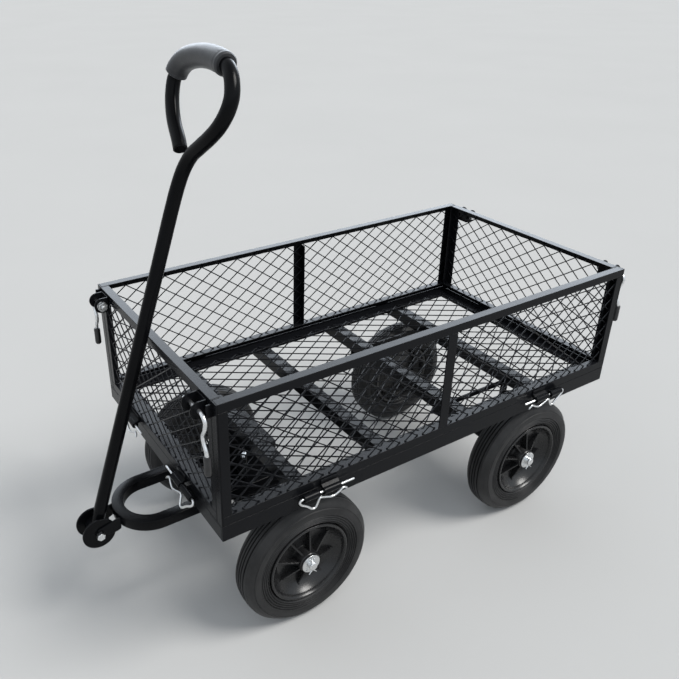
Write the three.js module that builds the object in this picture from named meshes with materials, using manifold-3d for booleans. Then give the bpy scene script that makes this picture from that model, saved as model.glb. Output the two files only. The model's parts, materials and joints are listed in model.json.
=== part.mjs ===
// A steel mesh garden cart: a flat bed with four fold-down mesh sides, held up by hinge pins and
// corner latches, on a fixed rear axle and a steered front axle with a folding pull handle.
// Millimetres, +Z up, the ground at z = 0. The handle end of the cart is at -X, and +Y is its far side.
import * as THREE from "three";
import { mergeVertices } from "three/addons/utils/BufferGeometryUtils.js";
import Module from "manifold-3d";

const wasm = await Module();
wasm.setup();

// ---------------------------------------------------------------- driving dimensions
const CLEAR = 0.3; // between two pieces that touch
const END = 437; // half the bed's length, to the outer face of the end panels
const SIDE = 235; // half the bed's width, to the outer face of the side panels
const RIM = 515; // top of the panels' top rails

// Panels: angle iron frames with a wire mesh inside
const FOOT = 299; // bottom of a panel
const ANGLE = 15; // leg of the angle iron
const WALL = 2; // its thickness
const FOOT_RAIL = 16; // height of the bottom rail
const CORNER_POST = 18; // outer leg of a side panel's corner post
const MID_POST = 20; // width of the side panel's middle post
const MID_POST_TOP = 504; // where the middle post's inner leg stops, under the mesh's top border
const END_HALF = SIDE - ANGLE - CLEAR; // half the width of an end panel
const MESH_IN = 3; // from a panel's outer face to its mesh
const WIRE = 3; // thickness of a mesh
const DIAMOND = { wide: 118.5, high: 88.2, strip: 8 }; // openings of a panel's mesh
const DECK_DIAMOND = { wide: 144, high: 96, strip: 9 }; // openings of the deck

// Base frame
const BASE_TOP = 298.5;
const BASE_LOW = 270;
const BASE_WALL = 3;
const BASE_FLANGE = 38; // how far the rail's top flange reaches in
const CROSS = { size: 25, wall: 2, at: [-279, -105, 88, 269] };
const DECK = { length: 804, width: 410, low: 298.8 };

// Hinges, each of two barrels with an R-clip as its pin
const HINGE = { out: 9.5, height: 296, radius: 6, bore: 2.6 };
const SIDE_HINGE = { panel: [228, 261], base: [269, 298], clip: 200 };
const END_HINGE = { panel: [82, 113], base: [117, 151], clip: 53 };
const CLIP = { radius: 2, sides: 5, steps: 30, tilt: 25 };
// One R-clip, as (along the pin from its tip, below the pin)
const CLIP_PIN = 99;
const CLIP_LEG = [
  [104, -1], [105.5, -4.5], [103, -9], [92, -17], [81, -26.5], [75.5, -26], [71, -18], [67, -10.5],
  [60, -12], [42, -18], [30, -14], [22, -9.5], [17, -11], [13, -15],
];

// Corner latches on the end panels
const LATCH = { inner: 179, outer: 209, plate: 2.5, height: 497, out: 14, round: 14, low: 483, high: 511 };
const LEVER = { radius: 4, nut: [172, 178], nutRadius: 9, drop: 228.5, tip: 402 };
const SLEEVE = { radius: 5.75, low: 398, high: 430 };
const EAR = { inner: 220.3, outer: 223.3, out: 9, low: 490, high: 511 };

// Wheels and axles
const WHEEL = { radius: 125, bead: 79, inner: 168, outer: 224, front: -267, rear: 267 };
const WHEEL_FACETS = 25;
const HUB = { radius: 20, bore: 8.4, inner: 166, outer: 221.5 };
const AXLE = { beam: 25, half: 155, radius: 8, end: 233, pin: 229 };
const WASHER = { radius: 17.5, thick: 2.5 };
const COTTER = { radius: 1.6, hole: 2.1, above: 13, below: 15, eye: 4 };
const CARRIER = { nose: 76, lip: 12, half: 14, side: 130, plate: 4, windowNose: 108, windowEdge: 4, rib: 22 };

// Steering: a plate over the front axle, turning under a bolster on the kingpin
const PLATE = { low: 175.7, high: 179.7, front: -330, back: -205, half: 72 };
const BOLSTER = { low: 200.6, plate: 4, half: 60, reach: 30, wall: 3 };
const KINGPIN = { radius: 6, bore: 6.4, low: 166, high: 210, head: 10, nut: 9 };
const TONGUE = { low: 180, high: 200, outer: 67, inner: 47, bend: -462, back: -215 };

// Handle
const PIVOT = { x: -563.5, z: 176.5 };
const LEAN = THREE.MathUtils.degToRad(18.7); // resting back against the front panel's top rail
const TUBE = 11; // radius of the handle tube
const COLLAR = { radius: 15, half: 14.6, bore: 5.6 };
const CLEVIS = {
  disc: 29, inner: 15, step: 19, outer: 22, bore: 5.4, armLow: 165, armHigh: 194, armEnd: -500,
};
const BOLT = { radius: 5, head: 8.5, headThick: 7 };
const GRIP = 17.5;
// The handle's centre line, as (along the shaft from the pivot, sideways)
const SHAFT_TOP = [560, -3];
const LOOP = [
  [602, -5], [632, -11], [655, -24], [672, -44], [690, -66], [709, -84], [730, -95], [749, -97],
  [767, -89], [780, -77], [788, -62], [792, -36], [793, 0], [789, 34], [780, 63], [768, 78],
  [757, 84], [745, 86], [719, 77], [692, 56], [668, 26], [657, 14],
];
const GRIP_SPAN = [10, 16]; // the grip covers the loop from the first of these points to the last
const LOOP_STEPS = 34;

// ---------------------------------------------------------------- finishes
const finish = (color, roughness, metalness) => () =>
  new THREE.MeshStandardMaterial({ color, roughness, metalness });
const blackPaint = finish(0x17181a, 0.38, 0.3);
const zinc = finish(0xb9bcc0, 0.32, 0.9);
const wireMesh = finish(0x3a3c40, 0.35, 0.6);
const tyreRubber = finish(0x1b1b1c, 0.8, 0);
const rimPlastic = finish(0x151517, 0.4, 0);
const vinyl = finish(0x101011, 0.45, 0);
const foam = finish(0x2b2c2e, 0.9, 0);

// ---------------------------------------------------------------- solids
// A three.js geometry as a manifold-3d solid, for joining and cutting.
function solid(geometry) {
  const plain = geometry.clone();
  plain.deleteAttribute("normal");
  plain.deleteAttribute("uv");
  const merged = mergeVertices(plain, 1e-4);
  const vertProperties = new Float32Array(merged.attributes.position.array);
  const triVerts = new Uint32Array(merged.index.array);
  return new wasm.Manifold(new wasm.Mesh({ numProp: 3, vertProperties, triVerts }));
}

// A manifold-3d solid as a three.js geometry.
function geometryOf(body) {
  const mesh = body.getMesh();
  const geometry = new THREE.BufferGeometry();
  const positions = new THREE.BufferAttribute(new Float32Array(mesh.vertProperties), 3);
  geometry.setAttribute("position", positions);
  geometry.setIndex(new THREE.BufferAttribute(new Uint32Array(mesh.triVerts), 1));
  return geometry;
}

const join = (bodies) => bodies.reduce((sum, body) => sum.add(body));
const cut = (body, tools) => tools.reduce((rest, tool) => rest.subtract(tool), body);
const sorted = (a, b) => [Math.min(a, b), Math.max(a, b)];

function box(x, y, z) {
  const geometry = new THREE.BoxGeometry(x[1] - x[0], y[1] - y[0], z[1] - z[0]);
  geometry.translate((x[0] + x[1]) / 2, (y[0] + y[1]) / 2, (z[0] + z[1]) / 2);
  return solid(geometry);
}

// A cylinder along "x", "y" or "z", centred on the other two coordinates.
function rod(axis, radius, span, centre, sides = 16) {
  const length = span[1] - span[0];
  const middle = (span[0] + span[1]) / 2;
  const geometry = new THREE.CylinderGeometry(radius, radius, length, sides);
  if (axis === "x") geometry.rotateZ(Math.PI / 2).translate(middle, centre[0], centre[1]);
  if (axis === "y") geometry.translate(centre[0], middle, centre[1]);
  if (axis === "z") geometry.rotateX(Math.PI / 2).translate(centre[0], centre[1], middle);
  return solid(geometry);
}

// A straight bar of any section; the section's points are (y, z) for "x" and (x, z) for "y".
function bar(axis, span, section) {
  const shape = section instanceof THREE.Shape ? section : new THREE.Shape(vectors(section));
  const depth = span[1] - span[0];
  const geometry = new THREE.ExtrudeGeometry(shape, { depth, bevelEnabled: false, curveSegments: 10 });
  if (axis === "x") geometry.rotateX(Math.PI / 2).rotateZ(Math.PI / 2).translate(span[0], 0, 0);
  if (axis === "y") geometry.rotateX(Math.PI / 2).translate(0, span[1], 0);
  if (axis === "z") geometry.translate(0, 0, span[0]);
  return solid(geometry);
}

const vectors = (points) => points.map(([u, v]) => new THREE.Vector2(u, v));

function squareTube(axis, span, u, v) {
  const shape = new THREE.Shape(vectors([[u[0], v[0]], [u[1], v[0]], [u[1], v[1]], [u[0], v[1]]]));
  const t = CROSS.wall;
  const hole = [[u[0] + t, v[0] + t], [u[0] + t, v[1] - t], [u[1] - t, v[1] - t], [u[1] - t, v[0] + t]];
  shape.holes.push(new THREE.Path(vectors(hole)));
  return bar(axis, span, shape);
}

// A round wire or tube: straight from the first point to the second, then smooth through the rest.
function bentTube(points, radius, steps, sides) {
  const path = new THREE.CurvePath();
  path.add(new THREE.LineCurve3(points[0], points[1]));
  path.add(new THREE.CatmullRomCurve3(points.slice(1)));
  return sweep(path, radius, steps, sides);
}

function sweep(path, radius, steps, sides) {
  const circle = new THREE.Shape();
  for (let i = 0; i < sides; i++) {
    const angle = (2 * Math.PI * i) / sides;
    const [u, v] = [radius * Math.cos(angle), radius * Math.sin(angle)];
    if (i) circle.lineTo(u, v);
    else circle.moveTo(u, v);
  }
  return solid(new THREE.ExtrudeGeometry(circle, { steps, extrudePath: path, bevelEnabled: false }));
}

// A solid of revolution about the wheel's Y axis, from (radius, y) points that close on themselves.
// The radii are to the middle of the facets, and an odd number of facets puts one flat on the ground.
function ring(profile) {
  const grow = 1 / Math.cos(Math.PI / WHEEL_FACETS);
  const points = vectors([...profile, profile[0]].map(([r, y]) => [r * grow, y]));
  return solid(new THREE.LatheGeometry(points, WHEEL_FACETS));
}

// ---------------------------------------------------------------- the assembly
const bed = new THREE.Group();

// Adds a solid as a named sub-part. A panel or rail is drawn along X with its outer face towards -Y:
// "turned" puts it on the -X end, and flipX and flipY mirror a piece to the other end and side.
function place(name, body, material, { turned = false, flipX = false, flipY = false } = {}) {
  const mesh = new THREE.Mesh(geometryOf(body), material());
  mesh.name = name;
  if (turned) mesh.rotation.z = -Math.PI / 2;
  const holder = new THREE.Group();
  holder.scale.set(flipX ? -1 : 1, flipY ? -1 : 1, 1);
  holder.add(mesh);
  bed.add(holder);
}

// ---------------------------------------------------------------- hinges
function barrel(face, span) {
  return rod("x", HINGE.radius, span, [-face - HINGE.out, HINGE.height], 12);
}

function hingeBore(face, reach) {
  return rod("x", HINGE.bore, [-reach, reach], [-face - HINGE.out, HINGE.height], 8);
}

// The leaf that joins a barrel to the panel's bottom rail, welded to the rail's outer face.
function panelLeaf(face, span) {
  const axis = -face - HINGE.out;
  const z = HINGE.height;
  const section = [
    [-face - 0.4, z + 1], [-face - 0.4, FOOT + 0.2], [-face + 0.5, FOOT + 0.2], [-face + 0.5, z + 16],
    [-face - WIRE, z + 16], [-face - WIRE, z + 8], [axis, z + 6], [axis + 2, z + 2], [axis + 5, z + 1],
  ];
  return bar("x", span, section);
}

// The short strap that joins a barrel to the base rail.
function baseStrap(face, span) {
  const axis = -face - HINGE.out;
  const z = HINGE.height;
  const section = [[-face + 0.5, z - 8], [-face + 0.5, z - 1], [axis + 4, z - 1], [axis + 2, z - 5.6]];
  return bar("x", span, section);
}

function bothEnds(span, make) {
  return [make(span), make(sorted(-span[0], -span[1]))];
}

// ---------------------------------------------------------------- base frame
// A base rail: an upright leg outside and a wide flange on top, with half of each hinge.
function baseRail(face, half, flangeHalf, hinge) {
  const upright = [-face, -face + BASE_WALL];
  const under = half > flangeHalf ? BASE_TOP - BASE_WALL - CLEAR : BASE_TOP;
  const pieces = [
    box([-half, half], upright, [BASE_LOW, under]),
    box([-flangeHalf, flangeHalf], upright, [BASE_LOW, BASE_TOP]),
    box([-flangeHalf, flangeHalf], [-face, -face + BASE_FLANGE], [BASE_TOP - BASE_WALL, BASE_TOP]),
    ...bothEnds(hinge.base, (span) => barrel(face, span)),
    ...bothEnds(hinge.base, (span) => baseStrap(face, span)),
  ];
  return cut(join(pieces), [hingeBore(face, half)]);
}

const sideRail = baseRail(SIDE, END, END, SIDE_HINGE);
place("base_rail_near", sideRail, blackPaint);
place("base_rail_far", sideRail, blackPaint, { flipY: true });
const crossHalf = SIDE - BASE_WALL - CLEAR;
const endRail = baseRail(END, crossHalf, SIDE - BASE_FLANGE - CLEAR, END_HINGE);
place("base_rail_front", endRail, blackPaint, { turned: true });
place("base_rail_rear", endRail, blackPaint, { turned: true, flipX: true });

const crossTop = BASE_TOP - BASE_WALL - CLEAR;
CROSS.at.forEach((x, i) => {
  const width = [x - CROSS.size / 2, x + CROSS.size / 2];
  const tube = squareTube("y", [-crossHalf, crossHalf], width, [crossTop - CROSS.size, crossTop]);
  place(`cross_member_${i + 1}`, tube, blackPaint);
});

// ---------------------------------------------------------------- wire mesh
// A flat mesh in the XY plane, with diamond openings inside a border.
function meshSheet(length, width, pattern, border, low) {
  const [a, b] = [pattern.wide / 2, pattern.high / 2];
  const open = 1 - (pattern.strip / 2) * Math.hypot(1 / a, 1 / b);
  const sheet = box([-length / 2, length / 2], [-width / 2, width / 2], [low, low + WIRE]);
  const inside = box(
    [border - length / 2, length / 2 - border],
    [border - width / 2, width / 2 - border],
    [low - 1, low + WIRE + 1],
  );
  const openings = [];
  const columns = Math.ceil(length / 2 / a) + 1;
  const rows = Math.ceil(width / 2 / b) + 1;
  for (let i = -columns; i <= columns; i++) {
    for (let j = -rows; j <= rows; j++) {
      if ((i + j) % 2) continue;
      const [x, y] = [i * a, j * b];
      const [dx, dy] = [a * open, b * open];
      const diamond = [[x - dx, y], [x, y - dy], [x + dx, y], [x, y + dy]];
      const opening = bar("z", [low - 1, low + WIRE + 1], diamond).intersect(inside);
      if (opening.volume() > 150) openings.push(opening);
    }
  }
  return cut(sheet, [join(openings)]);
}

place("deck_mesh", meshSheet(DECK.length, DECK.width, DECK_DIAMOND, 9, DECK.low), wireMesh);

// A panel's mesh, stood up inside its frame.
function panelMesh(face, half) {
  const low = FOOT + FOOT_RAIL + CLEAR;
  const high = RIM - WALL - CLEAR;
  const flat = meshSheet(2 * half, high - low, DIAMOND, 7, 0);
  const geometry = geometryOf(flat);
  geometry.rotateX(Math.PI / 2);
  geometry.translate(0, -face + MESH_IN + WIRE, (low + high) / 2);
  return solid(geometry);
}

// ---------------------------------------------------------------- panels
// The frame of one panel: top and bottom rails, and the leaf and barrel of each hinge.
function panelRails(face, half, hinge) {
  const outer = [-face, -face + WALL];
  const flange = [-face, -face + ANGLE];
  const along = [-half, half];
  return [
    box(along, outer, [RIM - ANGLE, RIM]),
    box(along, flange, [RIM - WALL, RIM]),
    box(along, outer, [FOOT, FOOT + FOOT_RAIL]),
    box(along, flange, [FOOT + FOOT_RAIL - WALL, FOOT + FOOT_RAIL]),
    ...bothEnds(hinge.panel, (span) => barrel(face, span)),
    ...bothEnds(hinge.panel, (span) => panelLeaf(face, span)),
  ];
}

function sideFrame() {
  const outer = [-SIDE, -SIDE + WALL];
  const flange = [-SIDE, -SIDE + ANGLE];
  const pieces = panelRails(SIDE, END, SIDE_HINGE);
  for (const end of [-1, 1]) {
    pieces.push(box(sorted(end * (END - CORNER_POST), end * END), outer, [FOOT, RIM]));
    pieces.push(box(sorted(end * (END - WALL), end * END), flange, [FOOT, RIM]));
    const ear = sorted(end * (END - 1), end * (END + EAR.out));
    pieces.push(box(ear, [-EAR.outer, -EAR.inner], [EAR.low, EAR.high]));
  }
  pieces.push(box([-MID_POST / 2, MID_POST / 2], outer, [FOOT, RIM]));
  const innerLeg = [MID_POST / 2 - WALL, MID_POST / 2];
  pieces.push(box(innerLeg, [-SIDE, -SIDE + ANGLE - 1], [FOOT + 1, MID_POST_TOP]));
  return cut(join(pieces), [hingeBore(SIDE, END)]);
}

function endFrame() {
  const pieces = panelRails(END, END_HALF, END_HINGE);
  for (const side of [-1, 1]) {
    const edge = side * END_HALF;
    const post = sorted(edge, edge - side * ANGLE);
    pieces.push(box(post, [-END, -END + WALL], [FOOT, RIM]));
    pieces.push(box(sorted(edge, edge - side * WALL), [-END, -END + ANGLE], [FOOT, RIM]));
  }
  return cut(join(pieces), [hingeBore(END, END_HALF)]);
}

// The side mesh is slotted where the middle post's inner leg stands through it.
const slot = box(
  [MID_POST / 2 - WALL - CLEAR, MID_POST / 2 + CLEAR],
  [-SIDE, -SIDE + ANGLE],
  [FOOT, MID_POST_TOP + CLEAR],
);
const sideMesh = cut(panelMesh(SIDE, END - WALL - 1), [slot]);
const endMesh = panelMesh(END, END_HALF - WALL - 1);
const [sidePanel, endPanel] = [sideFrame(), endFrame()];
place("near_side_frame", sidePanel, blackPaint);
place("near_side_mesh", sideMesh, wireMesh);
place("far_side_frame", sidePanel, blackPaint, { flipY: true });
place("far_side_mesh", sideMesh, wireMesh, { flipY: true });
for (const [end, flipX] of [["front", false], ["rear", true]]) {
  place(`${end}_panel_frame`, endPanel, blackPaint, { turned: true, flipX });
  place(`${end}_panel_mesh`, endMesh, wireMesh, { turned: true, flipX });
}

// ---------------------------------------------------------------- R-clips
// One R-clip, its pin in the barrels and its sprung leg hanging below, tilted out of the vertical.
function clip(face, tipAt, tilt) {
  const lean = THREE.MathUtils.degToRad(tilt);
  const point = ([along, down]) =>
    new THREE.Vector3(
      -tipAt - along,
      -face - HINGE.out + down * Math.sin(lean),
      HINGE.height + down * Math.cos(lean),
    );
  const points = [[0, 0], [CLIP_PIN, 0], ...CLIP_LEG].map(point);
  return bentTube(points, CLIP.radius, CLIP.steps, CLIP.sides);
}

const sideClip = clip(SIDE, SIDE_HINGE.clip, 0);
const endClip = clip(END, END_HINGE.clip, CLIP.tilt);
for (const [end, flipX] of [["front", false], ["rear", true]]) {
  for (const [side, flipY] of [["near", false], ["far", true]]) {
    place(`clip_${side}_${end}`, sideClip, zinc, { flipX, flipY });
    // A turned piece's -X half lies on the far side of the cart.
    place(`clip_${end}_${side}`, endClip, zinc, { turned: true, flipX, flipY: !flipY });
  }
}

// ---------------------------------------------------------------- corner latches
const latchX = -END - LATCH.out;

// Two D-shaped plates on a base plate, against the outer face of the end panel.
function latchBracket() {
  const backX = -END - CLEAR;
  const outline = new THREE.Shape();
  outline.moveTo(backX, LATCH.low);
  outline.lineTo(backX, LATCH.high);
  outline.lineTo(latchX + 1, LATCH.high);
  outline.absarc(latchX + 1, LATCH.height, LATCH.round, Math.PI / 2, (3 * Math.PI) / 2, false);
  const plates = [
    bar("y", [-LATCH.inner - LATCH.plate, -LATCH.inner], outline),
    bar("y", [-LATCH.outer, -LATCH.outer + LATCH.plate], outline),
    box([backX - 2, backX], [-LATCH.outer, -LATCH.inner], [LATCH.low, LATCH.high]),
  ];
  const hole = rod("y", LEVER.radius + 0.4, [-END, 0], [latchX, LATCH.height], 12);
  return cut(join(plates), [hole]);
}

// The latch rod: a nut inside, the rod through both plates, then a bowed drop outside the corner.
function latchLever() {
  const z = LATCH.height;
  const path = [
    [LEVER.nut[0], z], [216, z], [224, z - 2.5], [LEVER.drop, z - 9], [225, z - 24], [218.5, z - 36],
    [219.5, z - 46], [226, z - 58], [LEVER.drop, z - 68], [LEVER.drop, LEVER.tip],
  ];
  const points = path.map(([out, height]) => new THREE.Vector3(latchX, -out, height));
  const nut = rod("y", LEVER.nutRadius, [-LEVER.nut[1], -LEVER.nut[0]], [latchX, z], 6);
  return join([bentTube(points, LEVER.radius, 20, 6), nut]);
}

function leverSleeve() {
  const centre = [latchX, -LEVER.drop];
  const outside = rod("z", SLEEVE.radius, [SLEEVE.low, SLEEVE.high], centre, 10);
  const inside = rod("z", LEVER.radius + 0.45, [LEVER.tip - 0.5, SLEEVE.high + 1], centre, 10);
  return cut(outside, [inside]);
}

const [bracket, lever, sleeve] = [latchBracket(), latchLever(), leverSleeve()];
for (const [end, flipX] of [["front", false], ["rear", true]]) {
  for (const [side, flipY] of [["near", false], ["far", true]]) {
    place(`latch_bracket_${end}_${side}`, bracket, blackPaint, { flipX, flipY });
    place(`latch_lever_${end}_${side}`, lever, zinc, { flipX, flipY });
    place(`lever_sleeve_${end}_${side}`, sleeve, vinyl, { flipX, flipY });
  }
}

// ---------------------------------------------------------------- wheels
const axleZ = WHEEL.radius;

// Each wheel is turned about Y through the origin, then moved to its axle.
function atAxle(body, x) {
  const geometry = geometryOf(body);
  geometry.translate(x, 0, axleZ);
  return solid(geometry);
}

function tyre() {
  const [a, b, R] = [-WHEEL.outer, -WHEEL.inner, WHEEL.radius];
  const bead = WHEEL.bead + CLEAR;
  const profile = [
    [bead, a + 8], [bead + 14, a + 1], [R - 26, a], [R - 9, a + 4], [R, a + 14],
    [R, b - 14], [R - 9, b - 4], [R - 26, b], [bead + 14, b - 1], [bead, b - 8],
  ];
  return ring(profile);
}

function rim() {
  const [a, b, R] = [-WHEEL.outer + 3, -WHEEL.inner - 3, WHEEL.bead];
  const [hubA, hubB] = [-HUB.outer, -HUB.inner];
  const web = a + 18; // outer face of the dished web
  const profile = [
    [HUB.bore, hubA], [HUB.radius, hubA], [HUB.radius + 3, web - 2], [R - 14, web], [R - 6, a],
    [R, a], [R, b], [R - 6, b], [R - 12, web + 6], [HUB.radius + 4, web + 6], [HUB.radius, hubB],
    [HUB.bore, hubB],
  ];
  return ring(profile);
}

const [tyreBody, rimBody] = [tyre(), rim()];
for (const [end, x] of [["front", WHEEL.front], ["rear", WHEEL.rear]]) {
  for (const [side, flipY] of [["near", false], ["far", true]]) {
    place(`tyre_${end}_${side}`, atAxle(tyreBody, x), tyreRubber, { flipY });
    place(`rim_${end}_${side}`, atAxle(rimBody, x), rimPlastic, { flipY });
  }
}

// ---------------------------------------------------------------- axles
// The beam, and at each end a round stub with a washer on both sides of the wheel.
function axleParts(x) {
  const halfBeam = AXLE.beam / 2;
  const beamX = [x - halfBeam, x + halfBeam];
  const centre = [x, axleZ];
  const pieces = [box(beamX, [-AXLE.half, AXLE.half], [axleZ - halfBeam, axleZ + halfBeam])];
  pieces.push(rod("y", AXLE.radius, [-AXLE.end, AXLE.end], centre, 16));
  for (const side of [-1, 1]) {
    const outside = side * (HUB.outer + CLEAR);
    const inside = side * (HUB.inner - CLEAR);
    pieces.push(rod("y", WASHER.radius, sorted(outside, outside + side * WASHER.thick), centre, 16));
    pieces.push(rod("y", WASHER.radius, sorted(inside, inside - side * WASHER.thick), centre, 16));
  }
  return pieces;
}

function pinHoles(x) {
  const through = [axleZ - HUB.radius, axleZ + HUB.radius];
  return [-1, 1].map((side) => rod("z", COTTER.hole, through, [x, side * AXLE.pin], 8));
}

place("rear_axle", cut(join(axleParts(WHEEL.rear)), pinHoles(WHEEL.rear)), blackPaint);

// The split pin that keeps a wheel on: a shank through the axle with a round eye on top.
function cotterPin(x) {
  const top = axleZ + COTTER.above;
  const shank = rod("z", COTTER.radius, [axleZ - COTTER.below, top], [x, -AXLE.pin], 6);
  const across = [-AXLE.pin - COTTER.radius, -AXLE.pin + COTTER.radius];
  const eye = rod("y", COTTER.eye, across, [x, top + 0.5], 10);
  return join([shank, eye]);
}

for (const [end, x] of [["front", WHEEL.front], ["rear", WHEEL.rear]]) {
  for (const [side, flipY] of [["near", false], ["far", true]]) {
    place(`cotter_pin_${end}_${side}`, cotterPin(x), zinc, { flipY });
  }
}

// The rear carrier: two V plates from the cross-members down to a saddle on the rear beam.
function rearCarrier() {
  const top = crossTop - CROSS.size - CLEAR;
  const low = axleZ + AXLE.beam / 2 + CLEAR;
  const x = WHEEL.rear;
  const { nose, lip, half, side: inside, plate, windowNose, windowEdge, rib } = CARRIER;
  const corners = [[nose, top], [nose, top - lip], [x - half, low], [x + half, low], [x + half, top]];
  const outline = new THREE.Shape(vectors(corners));
  const edge = x - windowEdge;
  outline.holes.push(new THREE.Path(vectors([[windowNose, top - 10], [edge, top - 10], [edge, low + rib]])));
  const outside = inside + plate;
  const pieces = [-1, 1].map((way) => bar("y", sorted(way * inside, way * outside), outline));
  pieces.push(box([x - half, x + half], [-outside, outside], [low, low + plate]));
  return join(pieces);
}

place("rear_axle_carrier", rearCarrier(), blackPaint);

// ---------------------------------------------------------------- steering
const pinX = WHEEL.front;

// The front axle: beam, two upright walls and the steering plate that the tongue is bolted on.
function frontAxle() {
  const top = axleZ + AXLE.beam / 2;
  const pieces = axleParts(pinX);
  for (const side of [-1, 1]) {
    const wall = sorted(pinX + side * 12.5, pinX + side * 9.5);
    pieces.push(box(wall, [-BOLSTER.half, BOLSTER.half], [top - 1, PLATE.low + 1]));
  }
  pieces.push(box([PLATE.front, PLATE.back], [-PLATE.half, PLATE.half], [PLATE.low, PLATE.high]));
  const pinHole = rod("z", KINGPIN.bore, [top + 1, PLATE.high + 1], [pinX, 0], 14);
  return cut(join(pieces), [pinHole, ...pinHoles(pinX)]);
}

place("front_axle", frontAxle(), blackPaint);

// The bolster: a box bracket hung from the first cross-member, with the kingpin in its bottom plate.
function bolster() {
  const top = crossTop - CROSS.size - CLEAR;
  const x = [pinX - BOLSTER.reach, pinX + BOLSTER.reach];
  const y = [-BOLSTER.half, BOLSTER.half];
  const pieces = [
    box(x, y, [top - BOLSTER.plate, top]),
    box(x, y, [BOLSTER.low, BOLSTER.low + BOLSTER.plate]),
  ];
  for (const side of [-1, 1]) {
    const wall = sorted(side * BOLSTER.half, side * (BOLSTER.half - BOLSTER.wall));
    pieces.push(box(x, wall, [BOLSTER.low, top]));
  }
  return cut(join(pieces), [rod("z", KINGPIN.bore, [BOLSTER.low - 1, BOLSTER.low + 5], [pinX, 0], 14)]);
}

place("front_bolster", bolster(), blackPaint);

const kingpin = join([
  rod("z", KINGPIN.radius, [KINGPIN.low, KINGPIN.high], [pinX, 0], 12),
  rod("z", KINGPIN.head, [BOLSTER.low + BOLSTER.plate + CLEAR, KINGPIN.high + 1], [pinX, 0], 6),
  rod("z", KINGPIN.nut, [KINGPIN.low + 2, PLATE.low - CLEAR], [pinX, 0], 6),
]);
place("kingpin", kingpin, zinc);

// The tongue: a square tube bent to a U, its legs bolted to the steering plate.
function tongue() {
  const outline = new THREE.Shape();
  outline.moveTo(TONGUE.back, -TONGUE.outer);
  outline.lineTo(TONGUE.back, -TONGUE.inner);
  outline.lineTo(TONGUE.bend, -TONGUE.inner);
  outline.absarc(TONGUE.bend, 0, TONGUE.inner, -Math.PI / 2, Math.PI / 2, true);
  outline.lineTo(TONGUE.back, TONGUE.inner);
  outline.lineTo(TONGUE.back, TONGUE.outer);
  outline.lineTo(TONGUE.bend, TONGUE.outer);
  outline.absarc(TONGUE.bend, 0, TONGUE.outer, Math.PI / 2, -Math.PI / 2, false);
  return bar("z", [TONGUE.low, TONGUE.high], outline);
}

place("tongue", tongue(), blackPaint);

// ---------------------------------------------------------------- clevis and handle
// One cheek of the clevis: a disc around the bolt, and outside it an arm back to the tongue.
function clevisCheek() {
  const centre = [PIVOT.x, PIVOT.z];
  const arm = [
    [PIVOT.x - 6, CLEVIS.armLow + 3], [CLEVIS.armEnd, CLEVIS.armLow + 8],
    [CLEVIS.armEnd, CLEVIS.armHigh + 2], [PIVOT.x - 3, CLEVIS.armHigh - 8],
  ];
  const cheek = join([
    rod("y", CLEVIS.disc, [-CLEVIS.step, -CLEVIS.inner], centre, 28),
    bar("y", [-CLEVIS.outer, -CLEVIS.step + 0.5], arm),
  ]);
  const bend = rod("z", TONGUE.outer + 2 * CLEAR, [0, RIM], [TONGUE.bend, 0], 96);
  return cut(cheek, [bend, rod("y", CLEVIS.bore, [-40, 0], centre, 12)]);
}

place("clevis_near", clevisCheek(), blackPaint);
place("clevis_far", clevisCheek(), blackPaint, { flipY: true });

const boltHead = [CLEVIS.outer + CLEAR, CLEVIS.outer + CLEAR + BOLT.headThick];
const clevisBolt = join([
  rod("y", BOLT.radius, [-boltHead[1], boltHead[1] + 2], [PIVOT.x, PIVOT.z], 12),
  rod("y", BOLT.head, [-boltHead[1], -boltHead[0]], [PIVOT.x, PIVOT.z], 6),
  rod("y", BOLT.head, boltHead, [PIVOT.x, PIVOT.z], 6),
]);
place("clevis_bolt", clevisBolt, zinc);

const onHandle = ([along, sideways]) =>
  new THREE.Vector3(PIVOT.x + along * Math.sin(LEAN), sideways, PIVOT.z + along * Math.cos(LEAN));
const loopCurve = new THREE.CatmullRomCurve3([SHAFT_TOP, ...LOOP].map(onHandle));

// The handle: a collar on the clevis bolt, a straight shaft and the bent loop.
function handleTube() {
  const foot = onHandle([4, 0]);
  const shaft = sweep(new THREE.LineCurve3(foot, onHandle(SHAFT_TOP)), TUBE, 1, 12);
  const collar = rod("y", COLLAR.radius, [-COLLAR.half, COLLAR.half], [PIVOT.x, PIVOT.z], 16);
  const tube = join([shaft, sweep(loopCurve, TUBE, LOOP_STEPS, 12), collar]);
  return cut(tube, [rod("y", COLLAR.bore, [-20, 20], [PIVOT.x, PIVOT.z], 12)]);
}

place("handle_tube", handleTube(), blackPaint);

// The foam grip around the top of the loop.
function handleGrip() {
  const covered = LOOP.slice(GRIP_SPAN[0], GRIP_SPAN[1] + 1).map(onHandle);
  const sleeveCurve = new THREE.CatmullRomCurve3(covered);
  return cut(sweep(sleeveCurve, GRIP, 12, 14), [sweep(loopCurve, TUBE + 2 * CLEAR, LOOP_STEPS, 12)]);
}

place("handle_grip", handleGrip(), foam);

// ---------------------------------------------------------------- frame of reference
// The origin is on the ground under the middle of the whole cart's box.
const FRONTMOST = PIVOT.x - CLEVIS.disc;
const REARMOST = END + LATCH.out - 1 + LATCH.round;
bed.position.x = -(FRONTMOST + REARMOST) / 2;

const cart = new THREE.Group();
cart.add(bed);

export default cart;
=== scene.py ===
# The looks of the garden cart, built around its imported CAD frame.
# Lengths are in millimetres from the middle of the bed, on the ground, until a piece is finished:
# the handle end is at -X and the near side at -Y, as in the CAD.
import json
import math
import random
import bpy
import bmesh
from mathutils import Matrix, Vector


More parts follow.
